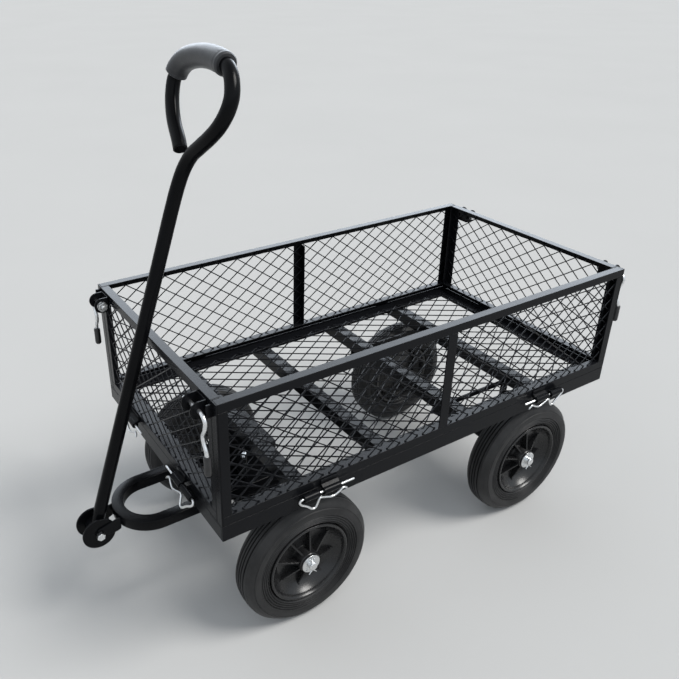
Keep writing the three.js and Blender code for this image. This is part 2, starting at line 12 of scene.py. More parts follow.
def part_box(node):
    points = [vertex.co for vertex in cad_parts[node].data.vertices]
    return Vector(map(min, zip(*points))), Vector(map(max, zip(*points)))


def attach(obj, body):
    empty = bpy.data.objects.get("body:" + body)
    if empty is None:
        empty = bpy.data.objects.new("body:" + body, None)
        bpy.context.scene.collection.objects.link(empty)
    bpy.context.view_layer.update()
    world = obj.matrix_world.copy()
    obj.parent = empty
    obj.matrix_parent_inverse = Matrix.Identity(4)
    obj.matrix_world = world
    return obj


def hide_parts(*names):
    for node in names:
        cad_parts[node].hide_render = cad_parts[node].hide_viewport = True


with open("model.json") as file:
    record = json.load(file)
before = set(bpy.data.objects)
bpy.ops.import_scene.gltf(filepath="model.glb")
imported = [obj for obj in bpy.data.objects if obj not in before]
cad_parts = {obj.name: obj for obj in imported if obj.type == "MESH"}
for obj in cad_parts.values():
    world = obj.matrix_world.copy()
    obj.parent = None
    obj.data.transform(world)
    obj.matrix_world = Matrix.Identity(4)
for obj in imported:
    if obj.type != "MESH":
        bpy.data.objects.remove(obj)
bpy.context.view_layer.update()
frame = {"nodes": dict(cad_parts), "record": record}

random.seed(7)

# ---------------------------------------------------------------- sizes, from the CAD frame
MM = 0.001
rail_low, rail_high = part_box("base_rail_near")
MIDDLE = (rail_low.x + rail_high.x) / 2  # of the bed, in metres along the CAD's X
END = (rail_high.x - rail_low.x) / 2 / MM  # outer face of the end panels
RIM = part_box("near_side_frame")[1].z / MM  # top of the panels
SIDE = 235.0  # outer face of the side panels
BODY_OF = {node: body for body, nodes in frame["record"]["behaviour"]["bodies"].items() for node in nodes}
FOOT = 299.0  # bottom of a panel
ANGLE = 15.0  # legs of a panel's angles
WALL = 2.0  # their wall
FOOT_RAIL = 16.0  # height of a panel's bottom rail
POST_LEG = 18.0  # width of a side panel's corner uprights
END_HALF = 219.7  # half the width of an end panel
MESH_IN = 4.6  # from a panel's outer face to the middle of its wires
BASE_TOP = 298.5
BASE_LOW = 270.0
HINGE_OUT = 9.5  # from a rail's outer face to the hinge axis
HINGE_Z = 296.0
HINGE_R = 6.0
HINGE_BORE = 2.6
WHEEL_R = 125.0
WHEEL_X = {"front": -267.0, "rear": 267.0}


# ---------------------------------------------------------------- materials
def new_material(name, color, roughness, metallic=0.0):
    material = bpy.data.materials.new(name)
    material.use_nodes = True
    shader = material.node_tree.nodes["Principled BSDF"]
    shader.inputs["Base Color"].default_value = (*color, 1)
    shader.inputs["Roughness"].default_value = roughness
    shader.inputs["Metallic"].default_value = metallic
    return material, shader


class Nodes:
    """A material's nodes, in the object's own coordinates."""

    def __init__(self, material):
        self.tree = material.node_tree
        self.place = self.tree.nodes.new("ShaderNodeTexCoord").outputs["Object"]

    def noise(self, scale, detail=4.0, rough=0.55):
        node = self.tree.nodes.new("ShaderNodeTexNoise")
        node.inputs["Scale"].default_value = scale
        node.inputs["Detail"].default_value = detail
        node.inputs["Roughness"].default_value = rough
        self.tree.links.new(self.place, node.inputs["Vector"])
        return node.outputs["Fac"]

    def cells(self, scale):
        node = self.tree.nodes.new("ShaderNodeTexVoronoi")
        node.inputs["Scale"].default_value = scale
        self.tree.links.new(self.place, node.inputs["Vector"])
        return node.outputs["Distance"]

    def ramp(self, value, stops):
        node = self.tree.nodes.new("ShaderNodeValToRGB")
        elements = node.color_ramp.elements
        while len(elements) < len(stops):
            elements.new(0.5)
        for element, (at, color) in zip(elements, stops):
            element.position = at
            element.color = (*color, 1)
        self.tree.links.new(value, node.inputs["Fac"])
        return node.outputs["Color"]

    def span(self, value, low, high):
        node = self.tree.nodes.new("ShaderNodeMapRange")
        node.inputs["To Min"].default_value = low
        node.inputs["To Max"].default_value = high
        self.tree.links.new(value, node.inputs["Value"])
        return node.outputs["Result"]

    # A mask of a surface's pointy edges, for painting a highlight along them.
    def painted_edge_highlight(self, low, high):
        node = self.tree.nodes.new("ShaderNodeNewGeometry")
        ramp = self.tree.nodes.new("ShaderNodeMapRange")
        ramp.inputs["From Min"].default_value = low
        ramp.inputs["From Max"].default_value = high
        self.tree.links.new(node.outputs["Pointiness"], ramp.inputs["Value"])
        return ramp.outputs["Result"]

    def mix(self, amount, a, b):
        node = self.tree.nodes.new("ShaderNodeMix")
        node.data_type = "RGBA"
        self.tree.links.new(amount, node.inputs["Factor"])
        for socket, value in ((node.inputs[6], a), (node.inputs[7], b)):
            if isinstance(value, tuple):
                socket.default_value = (*value, 1)
            else:
                self.tree.links.new(value, socket)
        return node.outputs[2]

    def bump(self, shader, height, strength, distance):
        node = self.tree.nodes.new("ShaderNodeBump")
        node.inputs["Strength"].default_value = strength
        node.inputs["Distance"].default_value = distance
        self.tree.links.new(height, node.inputs["Height"])
        self.tree.links.new(node.outputs["Normal"], shader.inputs["Normal"])

    def link(self, value, socket):
        self.tree.links.new(value, socket)


def powder_coat(name, dark, light, roughness):
    """Black powder coat: an orange-peel skin with patches of dust, and a painted highlight that lightens its
    pointy edges.
    """
    material, shader = new_material(name, dark, 0.36)
    nodes = Nodes(material)
    patches = nodes.noise(9.0, 5.0)
    color = nodes.ramp(patches, [(0.35, dark), (0.75, light)])
    # Painted highlight: the pointy edges are lightened towards 2.2 times the paint's lightest colour.
    edge_highlighted_color = nodes.mix(nodes.painted_edge_highlight(0.505, 0.6), color, tuple(2.2 * c for c in light))
    nodes.link(edge_highlighted_color, shader.inputs["Base Color"])
    nodes.link(nodes.span(nodes.noise(38.0), *roughness), shader.inputs["Roughness"])
    nodes.bump(shader, nodes.noise(950.0, 2.0), 0.16, 0.0004)
    shader.inputs["Specular IOR Level"].default_value = 0.09
    return material


def zinc_plate():
    """Zinc plate: bright, slightly mottled, with fine drawn lines."""
    material, shader = new_material("zinc_plate", (0.66, 0.67, 0.69), 0.27, 1.0)
    nodes = Nodes(material)
    mottle = nodes.noise(240.0, 6.0)
    color = nodes.ramp(mottle, [(0.3, (0.66, 0.67, 0.67)), (0.7, (0.78, 0.79, 0.8))])
    nodes.link(color, shader.inputs["Base Color"])
    nodes.link(nodes.span(nodes.noise(120.0), 0.2, 0.38), shader.inputs["Roughness"])
    nodes.bump(shader, nodes.noise(1500.0, 2.0), 0.08, 0.0002)
    return material


def tyre_rubber():
    """Tyre rubber: satin black with a fine grain and grey dust."""
    material, shader = new_material("tyre_rubber", (0.014, 0.014, 0.0145), 0.62)
    nodes = Nodes(material)
    dust = nodes.noise(22.0, 8.0, 0.65)
    color = nodes.ramp(dust, [
        (0.35, (0.011, 0.011, 0.0115)), (0.62, (0.02, 0.02, 0.0205)), (0.8, (0.034, 0.034, 0.034)),
    ])
    nodes.link(color, shader.inputs["Base Color"])
    nodes.link(nodes.span(nodes.noise(60.0), 0.38, 0.56), shader.inputs["Roughness"])
    nodes.bump(shader, nodes.noise(700.0, 5.0), 0.3, 0.0006)
    shader.inputs["Specular IOR Level"].default_value = 0.25
    return material


def rim_plastic():
    """Moulded black plastic: satin, with a faint flow pattern."""
    material, shader = new_material("rim_plastic", (0.012, 0.012, 0.0125), 0.34)
    nodes = Nodes(material)
    flow = nodes.noise(30.0, 6.0)
    color = nodes.ramp(flow, [(0.3, (0.006, 0.006, 0.0065)), (0.75, (0.012, 0.012, 0.0125))])
    nodes.link(color, shader.inputs["Base Color"])
    nodes.link(nodes.span(nodes.noise(85.0), 0.2, 0.34), shader.inputs["Roughness"])
    nodes.bump(shader, nodes.noise(1100.0, 3.0), 0.12, 0.0003)
    shader.inputs["Specular IOR Level"].default_value = 0.4
    return material


def dipped_vinyl():
    """Dipped vinyl: smooth and glossy with soft unevenness."""
    material, shader = new_material("dipped_vinyl", (0.01, 0.01, 0.011), 0.3)
    nodes = Nodes(material)
    color = nodes.ramp(nodes.noise(70.0), [(0.3, (0.008, 0.008, 0.009)), (0.8, (0.018, 0.018, 0.019))])
    nodes.link(color, shader.inputs["Base Color"])
    nodes.link(nodes.span(nodes.noise(160.0), 0.22, 0.38), shader.inputs["Roughness"])
    nodes.bump(shader, nodes.noise(260.0, 2.0), 0.15, 0.0005)
    return material


def foam_skin():
    """Closed-cell foam: dark grey, satin, finely pitted."""
    material, shader = new_material("foam_skin", (0.02, 0.021, 0.023), 0.6)
    nodes = Nodes(material)
    mottle = nodes.noise(120.0, 8.0, 0.7)
    color = nodes.ramp(mottle, [(0.3, (0.014, 0.0145, 0.016)), (0.7, (0.026, 0.027, 0.03))])
    nodes.link(color, shader.inputs["Base Color"])
    nodes.link(nodes.span(nodes.noise(300.0), 0.34, 0.5), shader.inputs["Roughness"])
    nodes.bump(shader, nodes.cells(900.0), 0.25, 0.0004)
    shader.inputs["Specular IOR Level"].default_value = 0.35
    shader.inputs["Sheen Weight"].default_value = 0.1
    shader.inputs["Sheen Roughness"].default_value = 0.5
    return material


PAINT = ((0.0015, 0.0016, 0.002), (0.003, 0.0032, 0.0038))  # darkest and lightest in its patches
MATERIALS = {
    "black_paint": powder_coat("black_powder_coat", *PAINT, (0.17, 0.27)),
    "mesh_paint": powder_coat("wire_powder_coat", *PAINT, (0.18, 0.3)),
    "zinc": zinc_plate(),
    "tyre_rubber": tyre_rubber(),
    "rim_plastic": rim_plastic(),
    "vinyl": dipped_vinyl(),
    "foam": foam_skin(),
}

# Where a drawn piece goes: turned onto the -X end, then mirrored to the other end or side.
TURN = Matrix.Rotation(-math.pi / 2, 4, "Z")


def placing(turned=False, flip_x=False, flip_y=False):
    mirror = Matrix.Diagonal((-1 if flip_x else 1, -1 if flip_y else 1, 1, 1))
    return mirror @ TURN if turned else mirror


# ---------------------------------------------------------------- drawing
# Where the point (u, v) of a section lies, at t along an axis.
ALONG = {
    "x": lambda t, u, v: (t, u, v),
    "y": lambda t, u, v: (u, t, v),
    "z": lambda t, u, v: (u, v, t),
}
WELD_STEP = 2.6  # between two beads of a seam


class Piece:
    """Closed shells collected in one mesh, in millimetres."""

    def __init__(self, name):
        self.name = name
        self.bm = bmesh.new()

    def rings(self, rings, closed=False, caps=True):
        """Skins a list of rings of points, each ring with as many points as the last."""
        made = [[self.bm.verts.new(point) for point in ring] for ring in rings]
        count = len(made[0])
        pairs = list(zip(made, made[1:]))
        if closed:
            pairs.append((made[-1], made[0]))
        for a, b in pairs:
            for i in range(count):
                j = (i + 1) % count
                self.bm.faces.new((a[i], a[j], b[j], b[i]))
        if caps and not closed:
            self.bm.faces.new(made[0][::-1])
            self.bm.faces.new(made[-1])
        return self

    def prism(self, axis, span, section):
        """A straight bar: section is (y, z) points for "x", (x, z) for "y" and (x, y) for "z"."""
        put = ALONG[axis]
        return self.rings([[put(t, u, v) for u, v in section] for t in span])

    def box(self, x, y, z):
        return self.prism("z", z, rectangle(x, y))

    def rod(self, axis, span, centre, radius, sides):
        return self.prism(axis, span, circle(centre, radius, sides))

    def hollow(self, axis, span, outside, inside):
        """A straight bar with a hole right through, from the sections of its outside and its inside."""
        put = ALONG[axis]
        loops = [(span[0], outside), (span[1], outside), (span[1], inside), (span[0], inside)]
        return self.rings([[put(t, u, v) for u, v in loop] for t, loop in loops], closed=True)

    def pipe(self, axis, span, centre, radius, bore, sides):
        """A rod with a hole right through."""
        return self.hollow(axis, span, circle(centre, radius, sides), circle(centre, bore, sides))

    def tube(self, path, radius, sides=16, caps=True, section=None):
        """A bar along a path of points, round unless section gives its outline at a size of 1.

        radius may be a function of the place along the path, 0 to 1.
        """
        outline = section or circle((0, 0), 1, sides)
        rings = []
        last = len(path) - 1
        tangents = [(path[min(i + 1, last)] - path[max(i - 1, 0)]).normalized() for i in range(last + 1)]
        if section is None:
            side = tangents[0].orthogonal().normalized()
        else:
            side = Vector((0, 0, 1)).cross(tangents[0])
        for i, (point, tangent) in enumerate(zip(path, tangents)):
            side = (side - tangent * side.dot(tangent)).normalized()
            up = tangent.cross(side)
            size = radius(i / last) if callable(radius) else radius
            rings.append([point + size * (u * side + v * up) for u, v in outline])
        return self.rings(rings, caps=caps)

    def turned(self, profile, centre, segments):
        """A ring turned about Y from a closed list of (radius, y) points; centre is (x, z)."""
        rings = []
        for i in range(segments):
            angle = 2 * math.pi * i / segments
            c, s = math.cos(angle), math.sin(angle)
            rings.append([(centre[0] + r * c, y, centre[1] + r * s) for r, y in profile])
        return self.rings(rings, closed=True)

    def bead(self, centre, size):
        """A small weld bead."""
        before = len(self.bm.verts)
        bmesh.ops.create_icosphere(self.bm, subdivisions=2, radius=1.0)
        self.bm.verts.ensure_lookup_table()
        for vert in self.bm.verts[before:]:
            vert.co = Vector(centre) + Vector(a * b for a, b in zip(vert.co, size))
        return self

    def weld(self, start, end, radius):
        """A rippled weld seam from start to end."""
        start, end = Vector(start), Vector(end)
        count = max(2, int((end - start).length / WELD_STEP))
        for i in range(count + 1):
            size = radius * random.uniform(0.85, 1.15)
            self.bead(start.lerp(end, i / count), (size * 1.15, size * 1.15, size))
        return self

    def finish(self, body, slot, nodes=(), place=None, bevel=0.6, segments=2, smooth=40):
        """Makes the object, in metres in the CAD's frame, riding on its body and standing for its nodes."""
        matrix = place or Matrix.Identity(4)
        to_frame = Matrix.Translation((MIDDLE, 0, 0)) @ Matrix.Scale(MM, 4) @ matrix
        self.bm.transform(to_frame)
        if matrix.determinant() < 0:
            bmesh.ops.reverse_faces(self.bm, faces=self.bm.faces)
        bmesh.ops.recalc_face_normals(self.bm, faces=self.bm.faces)
        mesh = bpy.data.meshes.new(self.name)
        self.bm.to_mesh(mesh)
        self.bm.free()
        mesh.shade_smooth()
        mesh.set_sharp_from_angle(angle=math.radians(smooth))
        piece = bpy.data.objects.new(self.name, mesh)
        bpy.context.scene.collection.objects.link(piece)
        if bevel:
            rounded = piece.modifiers.new("edges", "BEVEL")
            rounded.width = bevel * MM
            rounded.segments = segments
            rounded.limit_method = "ANGLE"
            rounded.angle_limit = math.radians(smooth)
            rounded.harden_normals = True
        piece.data.materials.append(MATERIALS[slot])
        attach(piece, body)
        if nodes:
            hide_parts(*nodes)
        return piece


def rectangle(u, v):
    """The four corners between two values of u and two of v."""
    return [(u[0], v[0]), (u[1], v[0]), (u[1], v[1]), (u[0], v[1])]


def circle(centre, radius, sides, start=0.0):
    steps = [start + 2 * math.pi * i / sides for i in range(sides)]
    return [(centre[0] + radius * math.cos(a), centre[1] + radius * math.sin(a)) for a in steps]


def arc(centre, radius, start, end, steps):
    """Points of an arc, with its angles in degrees."""
    angles = [math.radians(start + (end - start) * i / steps) for i in range(steps + 1)]
    return [(centre[0] + radius * math.cos(a), centre[1] + radius * math.sin(a)) for a in angles]


def smooth_path(points, per=6):
    """A Catmull-Rom curve through the points, centripetal so that it doesn't bulge."""
    points = [Vector(p) for p in points]
    ends = [2 * points[0] - points[1]] + points + [2 * points[-1] - points[-2]]
    path = []
    for p0, p1, p2, p3 in zip(ends, ends[1:], ends[2:], ends[3:]):
        t1 = (p1 - p0).length ** 0.5
        t2 = t1 + (p2 - p1).length ** 0.5
        t3 = t2 + (p3 - p2).length ** 0.5
        for i in range(per):
            t = t1 + (t2 - t1) * i / per
            a1 = p0.lerp(p1, t / t1)
            a2 = p1.lerp(p2, (t - t1) / (t2 - t1))
            a3 = p2.lerp(p3, (t - t2) / (t3 - t2))
            b1 = a1.lerp(a2, t / t2)
            b2 = a2.lerp(a3, (t - t1) / (t3 - t1))
            path.append(b1.lerp(b2, (t - t1) / (t2 - t1)))
    return path + [points[-1]]


def angle_section(corner, across, down, wall):
    """An L, from its outer corner: one leg across, one leg down, each a signed length."""
    u, v = corner
    a, b = math.copysign(wall, across), math.copysign(wall, down)
    return [(u, v), (u + across, v), (u + across, v + b), (u + a, v + b), (u + a, v + down), (u, v + down)]


ENDS = (("front", False), ("rear", True))
SIDES = (("near", False), ("far", True))


# ---------------------------------------------------------------- hinges
def barrel(piece, face, span, panel):
    """One barrel and the leaf that is welded to the outer face of a panel's rail, or of a base rail."""
    axis = -face - HINGE_OUT
    piece.pipe("x", span, (axis, HINGE_Z), HINGE_R, HINGE_BORE, 28)
    if panel:
        leaf = [
            (-face + 0.4, FOOT + 0.2), (-face + 0.4, HINGE_Z + 16), (-face - 2.6, HINGE_Z + 16),
            (-face - 3, HINGE_Z + 9), (axis + 1, HINGE_Z + 5.8), (axis + 5, HINGE_Z + 2.6),
            (-face - 0.4, FOOT + 0.2),
        ]
        seam = HINGE_Z + 15.5
    else:
        leaf = [
            (-face + 0.5, HINGE_Z - 1), (axis + 5, HINGE_Z - 1), (axis + 1.4, HINGE_Z - 5.6),
            (-face + 0.5, HINGE_Z - 8),
        ]
        seam = HINGE_Z - 7.4
    piece.prism("x", span, leaf)
    piece.weld((span[0] + 2, -face - 1.2, seam), (span[1] - 2, -face - 1.2, seam), 1.5)


def both_ways(span):
    """A span along X and its mirror image."""
    return [span, (-span[1], -span[0])]


# Along a rail from its middle: the barrels of the panel and of the base, and the tip of the R-clip.
SIDE_HINGE = {"panel": (228, 261), "base": (269, 298), "clip": 200}
END_HINGE = {"panel": (82, 113), "base": (117, 151), "clip": 53}

# ---------------------------------------------------------------- base frame
BASE_FLANGE = 38.0
BASE_WALL = 3.0


def base_rail(node, face, half, flange_half, hinge, place):
    piece = Piece(node.replace("rail", "angle"))
    section = angle_section((-face, BASE_TOP), BASE_FLANGE, BASE_LOW - BASE_TOP, BASE_WALL)
    piece.prism("x", (-flange_half, flange_half), section)
    if half > flange_half:
        for span in both_ways((flange_half - 1, half)):
            piece.box(span, (-face, -face + BASE_WALL), (BASE_LOW, BASE_TOP - BASE_WALL - 0.3))
    for span in both_ways(hinge["base"]):
        barrel(piece, face, span, False)
    piece.finish("chassis", "black_paint", [node], place)


base_rail("base_rail_near", SIDE, END, END, SIDE_HINGE, placing())
base_rail("base_rail_far", SIDE, END, END, SIDE_HINGE, placing(flip_y=True))
for end, flip in ENDS:
    base_rail(f"base_rail_{end}", END, SIDE - 3.3, SIDE - 38.3, END_HINGE, placing(True, flip))

CROSS_TOP = BASE_TOP - BASE_WALL - 0.3
CROSS_LOW = CROSS_TOP - 25
CROSS_WALL = 2.0


def cross_member(number):
    """A square tube across the bed, under the base rails' flanges."""
    node = f"cross_member_{number}"
    low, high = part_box(node)
    left, right = (low.x - MIDDLE) / MM, (high.x - MIDDLE) / MM
    half = high.y / MM
    outside = rectangle((left, right), (CROSS_LOW, CROSS_TOP))
    inside = rectangle(
        (left + CROSS_WALL, right - CROSS_WALL), (CROSS_LOW + CROSS_WALL, CROSS_TOP - CROSS_WALL)
    )
    cross = Piece(f"cross_tube_{number}").hollow("y", (-half, half), outside, inside)
    cross.finish("chassis", "black_paint", [node], bevel=1.2, segments=3)


for number in range(1, 5):
    cross_member(number)


# ---------------------------------------------------------------- wire mesh
DECK_PITCH = (48.0, 32.0)
DECK_WIRE = 1.25  # radius of a wire
PANEL_PITCH = (39.5, 29.4)
PANEL_WIRE = 1.1
PANEL_SHIFT = 0.25  # of a pitch, sideways
WIRE_SIDES = 8


def wires(piece, half_u, half_v, pitch_u, pitch_v, radius, put, shift=0.0):
    """Two layers of straight wires crossing as diamonds inside a rectangle; returns where the wires end."""
    ends = []
    slope = pitch_v / pitch_u
    reach = half_u + half_v / slope
    for layer, sign in ((-1, 1), (1, -1)):
        count = int(reach / pitch_u) + 1
        for k in range(-count, count + 1):
            middle = (k + shift) * pitch_u
            low = max(-half_u, middle - half_v / slope)
            high = min(half_u, middle + half_v / slope)
            if high - low < 2 * radius:
                continue
            a, b = (low, sign * slope * (low - middle)), (high, sign * slope * (high - middle))
            depth = layer * radius * 0.72
            path = [put(a[0], a[1], depth), put(b[0], b[1], depth)]
            piece.tube(path, radius, WIRE_SIDES)
            ends += [(a, depth), (b, depth)]
    return ends


def deck():
    low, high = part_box("deck_mesh")
    half_u, half_v = (high.x - low.x) / 2 / MM, (high.y - low.y) / 2 / MM
    level = low.z / MM + 1.6
    piece = Piece("deck_wires")
    put = lambda u, v, w: Vector((u, v, level + w))
    for (u, v), _ in wires(piece, half_u, half_v, *DECK_PITCH, DECK_WIRE, put):
        piece.bead((u * 0.996, v * 0.994, level - 0.5), (2.0, 1.8, 1.2))
    piece.finish("chassis", "mesh_paint", ["deck_mesh"], bevel=0)


deck()


def panel_mesh(node, body, face, half, place):
    low, high = FOOT + FOOT_RAIL + 0.2, RIM - WALL - 0.4
    middle = (low + high) / 2
    plane = -face + MESH_IN
    piece = Piece(node.replace("mesh", "wires"))
    put = lambda u, v, w: Vector((u, plane + w, middle + v))
    half_height = (high - low) / 2
    for (u, v), depth in wires(piece, half, half_height, *PANEL_PITCH, PANEL_WIRE, put, PANEL_SHIFT):
        piece.bead((u * 0.998, plane + depth, middle + v * 0.99), (1.9, 1.5, 1.5))
    piece.finish(body, "mesh_paint", [node], place, bevel=0)


# ---------------------------------------------------------------- panels
# The ear at each end of a side panel, beside the end panel's latch.
EAR_Y = (-223.3, -220.3)
EAR_Z = (490, 511)


def panel_frame(node, body, face, half, hinge, place, side):
    """A panel's welded frame and its hinge barrels; side is true for the long panels."""
    piece = Piece(node.replace("frame", "angles"))
    seam = 0.15
    leg = POST_LEG if side else ANGLE
    along = (seam + WALL - half, half - WALL - seam)
    piece.prism("x", along, angle_section((-face, RIM), ANGLE, -ANGLE, WALL))
    piece.prism("x", along, angle_section((-face, FOOT + FOOT_RAIL), ANGLE, -FOOT_RAIL, WALL))
    upright = (FOOT + FOOT_RAIL + seam, RIM - ANGLE - seam)
    for way in (-1, 1):
        piece.box(sorted((way * (half - leg), way * (half - WALL - seam))), (-face, -face + WALL), upright)
        piece.box(sorted((way * (half - WALL), way * half)), (-face, -face + ANGLE), (FOOT, RIM))
        inner = way * (half - WALL - 0.3)
        for level in (RIM - WALL - 0.6, FOOT + FOOT_RAIL + 0.3):
            piece.weld((inner, -face + 5, level), (inner, -face + ANGLE - 2, level), 1.2)
        first, last = way * (half - leg + 1), way * (half - 3)
        for level in upright:
            piece.weld((first, -face + WALL, level), (last, -face + WALL, level), 1.1)
        if side:
            ear = sorted((way * (half - 1), way * (half + 9)))
            piece.box(ear, EAR_Y, EAR_Z)
    if side:
        post = [
            (-10, -face), (10, -face), (10, -face + ANGLE - 1), (8, -face + ANGLE - 1), (8, -face + WALL),
            (-10, -face + WALL),
        ]
        piece.prism("z", upright, post)
        for level in upright:
            piece.weld((-9, -face + WALL, level), (7, -face + WALL, level), 1.1)
    for span in both_ways(hinge["panel"]):
        barrel(piece, face, span, True)
    piece.finish(body, "black_paint", [node], place)


panel_frame("near_side_frame", "near_side", SIDE, END, SIDE_HINGE, placing(), True)
panel_mesh("near_side_mesh", "near_side", SIDE, END - 3, placing())
panel_frame("far_side_frame", "far_side", SIDE, END, SIDE_HINGE, placing(flip_y=True), True)
panel_mesh("far_side_mesh", "far_side", SIDE, END - 3, placing(flip_y=True))
for end, flip in ENDS:
    body = f"{end}_panel"
    panel_frame(f"{end}_panel_frame", body, END, END_HALF, END_HINGE, placing(True, flip), False)
    panel_mesh(f"{end}_panel_mesh", body, END, END_HALF - 3, placing(True, flip))

# ---------------------------------------------------------------- R-clips
# What follows an R-clip's straight pin, as (along the pin from its tip, below the pin).
CLIP_LEG = [
    (104, -1), (105.5, -4.5), (103, -9), (92, -17), (81, -26.5), (75.5, -26), (71, -18), (67, -10.5),
    (60, -12), (42, -18), (30, -14), (22, -9.5), (17, -11), (13, -15),
]


def clip(node, face, tip, tilt, place):
    """One R-clip in its hinge, with its leg turned by tilt degrees about the pin."""
    lean = math.radians(tilt)

    def put(along, down):
        out = -face - HINGE_OUT + down * math.sin(lean)
        return Vector((-tip - along, out, HINGE_Z + down * math.cos(lean)))

    straight = [put(along, 0) for along in (0, 2, 50, 94)]
    bend = smooth_path([put(99, 0)] + [put(*point) for point in CLIP_LEG], 5)
    blunt = lambda t: 2.0 if 0.004 < t < 0.985 else 1.3
    piece = Piece(node.replace("clip", "r_clip")).tube(straight + bend, blunt, 12)
    piece.finish(node, "zinc", [node], place, bevel=0, smooth=60)


for end, flip_x in ENDS:
    for side, flip_y in SIDES:
        clip(f"clip_{side}_{end}", SIDE, SIDE_HINGE["clip"], 0, placing(False, flip_x, flip_y))
        clip(f"clip_{end}_{side}", END, END_HINGE["clip"], 25, placing(True, flip_x, not flip_y))

# ---------------------------------------------------------------- corner latches
LATCH_X, LATCH_Z = -END - 14, 497.0
LATCH_PLATES = ((-181.5, -179), (-209, -206.5))
LATCH_BACK = (483, 511)  # bottom and top of the plate that joins them


def hex_nut(piece, span, centre, radius):
    """A hexagon along Y with its corners turned down at both faces."""
    y0, y1 = span
    chamfer = 0.12 * radius
    steps = [(y0, 0.93), (y0 + chamfer * 0.6, 1.0), (y1 - chamfer * 0.6, 1.0), (y1, 0.93)]
    rings = [[(u, y, v) for u, v in circle(centre, radius * k, 6, 0.3)] for y, k in steps]
    piece.rings(rings)


def latch(end, side, place):
    """A corner's bracket, the rod that turns in it and drops beside the corner, and the rod's vinyl dip."""
    name, body, lever_body = f"{end}_{side}", f"{end}_panel", f"lever_{end}_{side}"
    back = -END - 0.3
    outline = [(back, height) for height in LATCH_BACK] + arc((LATCH_X + 1, LATCH_Z), 14, 90, 270, 20)
    bracket = Piece(f"latch_plates_{name}")
    for span in LATCH_PLATES:
        bracket.prism("y", span, outline)
    bracket.box((back - 2, back), (LATCH_PLATES[1][0], LATCH_PLATES[0][1]), LATCH_BACK)
    bracket.weld((back - 1, -182, 483.5), (back - 1, -206, 483.5), 1.3)
    bracket.finish(body, "black_paint", [f"latch_bracket_{name}"], place, bevel=0.5)

    z = LATCH_Z
    drop = [(216, z), (224, z - 2.5), (228.5, z - 9), (225, z - 24), (218.5, z - 36), (219.5, z - 46),
            (226, z - 58), (228.5, z - 68), (228.5, 402)]
    put = lambda out, height: Vector((LATCH_X, -out, height))
    rod = [put(168.5, z), put(169.4, z), put(190, z), put(205, z)] + smooth_path([put(*p) for p in drop], 5)
    lever = Piece(f"latch_rod_{name}")
    lever.tube(rod, lambda t: 3.2 if t > 0.001 else 2.5, 20)
    hex_nut(lever, (-177.6, -171.4), (LATCH_X, z), 9.0)
    lever.pipe("y", (-178.9, -177.6), (LATCH_X, z), 8.6, 3.9, 28)
    lever.finish(lever_body, "zinc", [f"latch_lever_{name}"], place, bevel=0.3, smooth=35)

    profile = [
        (0.5, 397.8), (3.4, 398.2), (5.0, 399.6), (5.7, 402), (5.75, 410), (5.6, 424), (5.7, 428.5),
        (5.3, 430.6), (4.0, 431.2),
    ]
    sleeve = Piece(f"vinyl_dip_{name}")
    rings = [[(u, v, height) for u, v in circle((LATCH_X, -228.5), radius, 28)] for radius, height in profile]
    sleeve.rings(rings)
    sleeve.finish(lever_body, "vinyl", [f"lever_sleeve_{name}"], place, bevel=0, smooth=50)


for end, flip_x in ENDS:
    for side, flip_y in SIDES:
        latch(end, side, placing(False, flip_x, flip_y))


# ---------------------------------------------------------------- wheels
TYRE_OUT, TYRE_IN, BEAD = 224.0, 168.0, 79.0
RIBS = 8
RIB_HALF = 1.5
STUB_R = 8.0
WASHER_R = 17.5
WASHERS = ((-224.2, -221.8), (-165.6, -163.2))
COTTER_Y = -229.0
# One leg of a split pin, as (beside the pin's middle, above the axle's).
COTTER_LEG = [
    (7.4, -16.5), (4.6, -13.6), (1.4, -10.4), (0.75, -8), (0.75, 8.5), (2.6, 11.2), (3.9, 14.6), (2.4, 18),
    (0, 19),
]


def tyre_profile():
    """The tyre's closed section as (radius, y), from the outer bead over the tread to the inner bead."""
    a, b, R = -TYRE_OUT, -TYRE_IN, WHEEL_R
    wall = [(BEAD, a + 9), (BEAD + 1.5, a + 4.5), (BEAD + 4, a + 2.4)]
    for start, depth in ((5, 2.6), (9, 2.0), (13, 1.5), (17, 1.1)):
        ridge = BEAD + start
        wall += [(ridge, a + depth + 1.3), (ridge + 0.8, a + depth + 1.3), (ridge + 1.4, a + depth - 0.5),
                 (ridge + 2.4, a + depth - 0.9), (ridge + 3.3, a + depth - 0.3)]
    wall += [(BEAD + 24, a), (BEAD + 31, a + 0.9), (BEAD + 32, a + 2.1), (BEAD + 33, a + 1.7),
             (BEAD + 38, a + 4.2), (R - 5.2, a + 8), (R - 3.2, a + 10.2)]
    tread = [(R - 1.4, a + 12.2), (R - 0.8, a + 16.5), (R - 3.4, a + 17.1), (R - 3.4, a + 18.7),
             (R - 0.3, a + 19.3), (R, a + 23.6), (R - 3.2, a + 24.2), (R - 3.2, a + 25.8), (R, a + 26.4)]
    half = wall + tread
    return half + [(r, a + b - y) for r, y in reversed(half)]


def wheel_profile():
    """The rim's closed section: a rolled lip, a conical dish, a flat web and a hub."""
    a, b, R = -TYRE_OUT + 3, -TYRE_IN - 3, BEAD - 0.3
    return [
        (8.6, -221.4), (14, -221.4), (18.6, -220.6), (20, -218.5), (20.6, -204), (23, -199.4), (28, -198.2),
        (52, -198.2), (55, -199), (58, -201), (R - 8.2, -213.5), (R - 7.2, -216), (R - 6, a + 0.4),
        (R - 4.4, a - 1.2), (R - 2.4, a - 1.6), (R - 0.6, a - 0.6), (R, a + 3), (R, b - 4), (R - 3, b),
        (R - 7, b - 1),
        (R - 10, b - 6), (R - 15, -197.5), (56, -194.4), (26, -194.4), (21, -192), (20, -168), (16, -166.2),
        (8.6, -166.2),
    ]


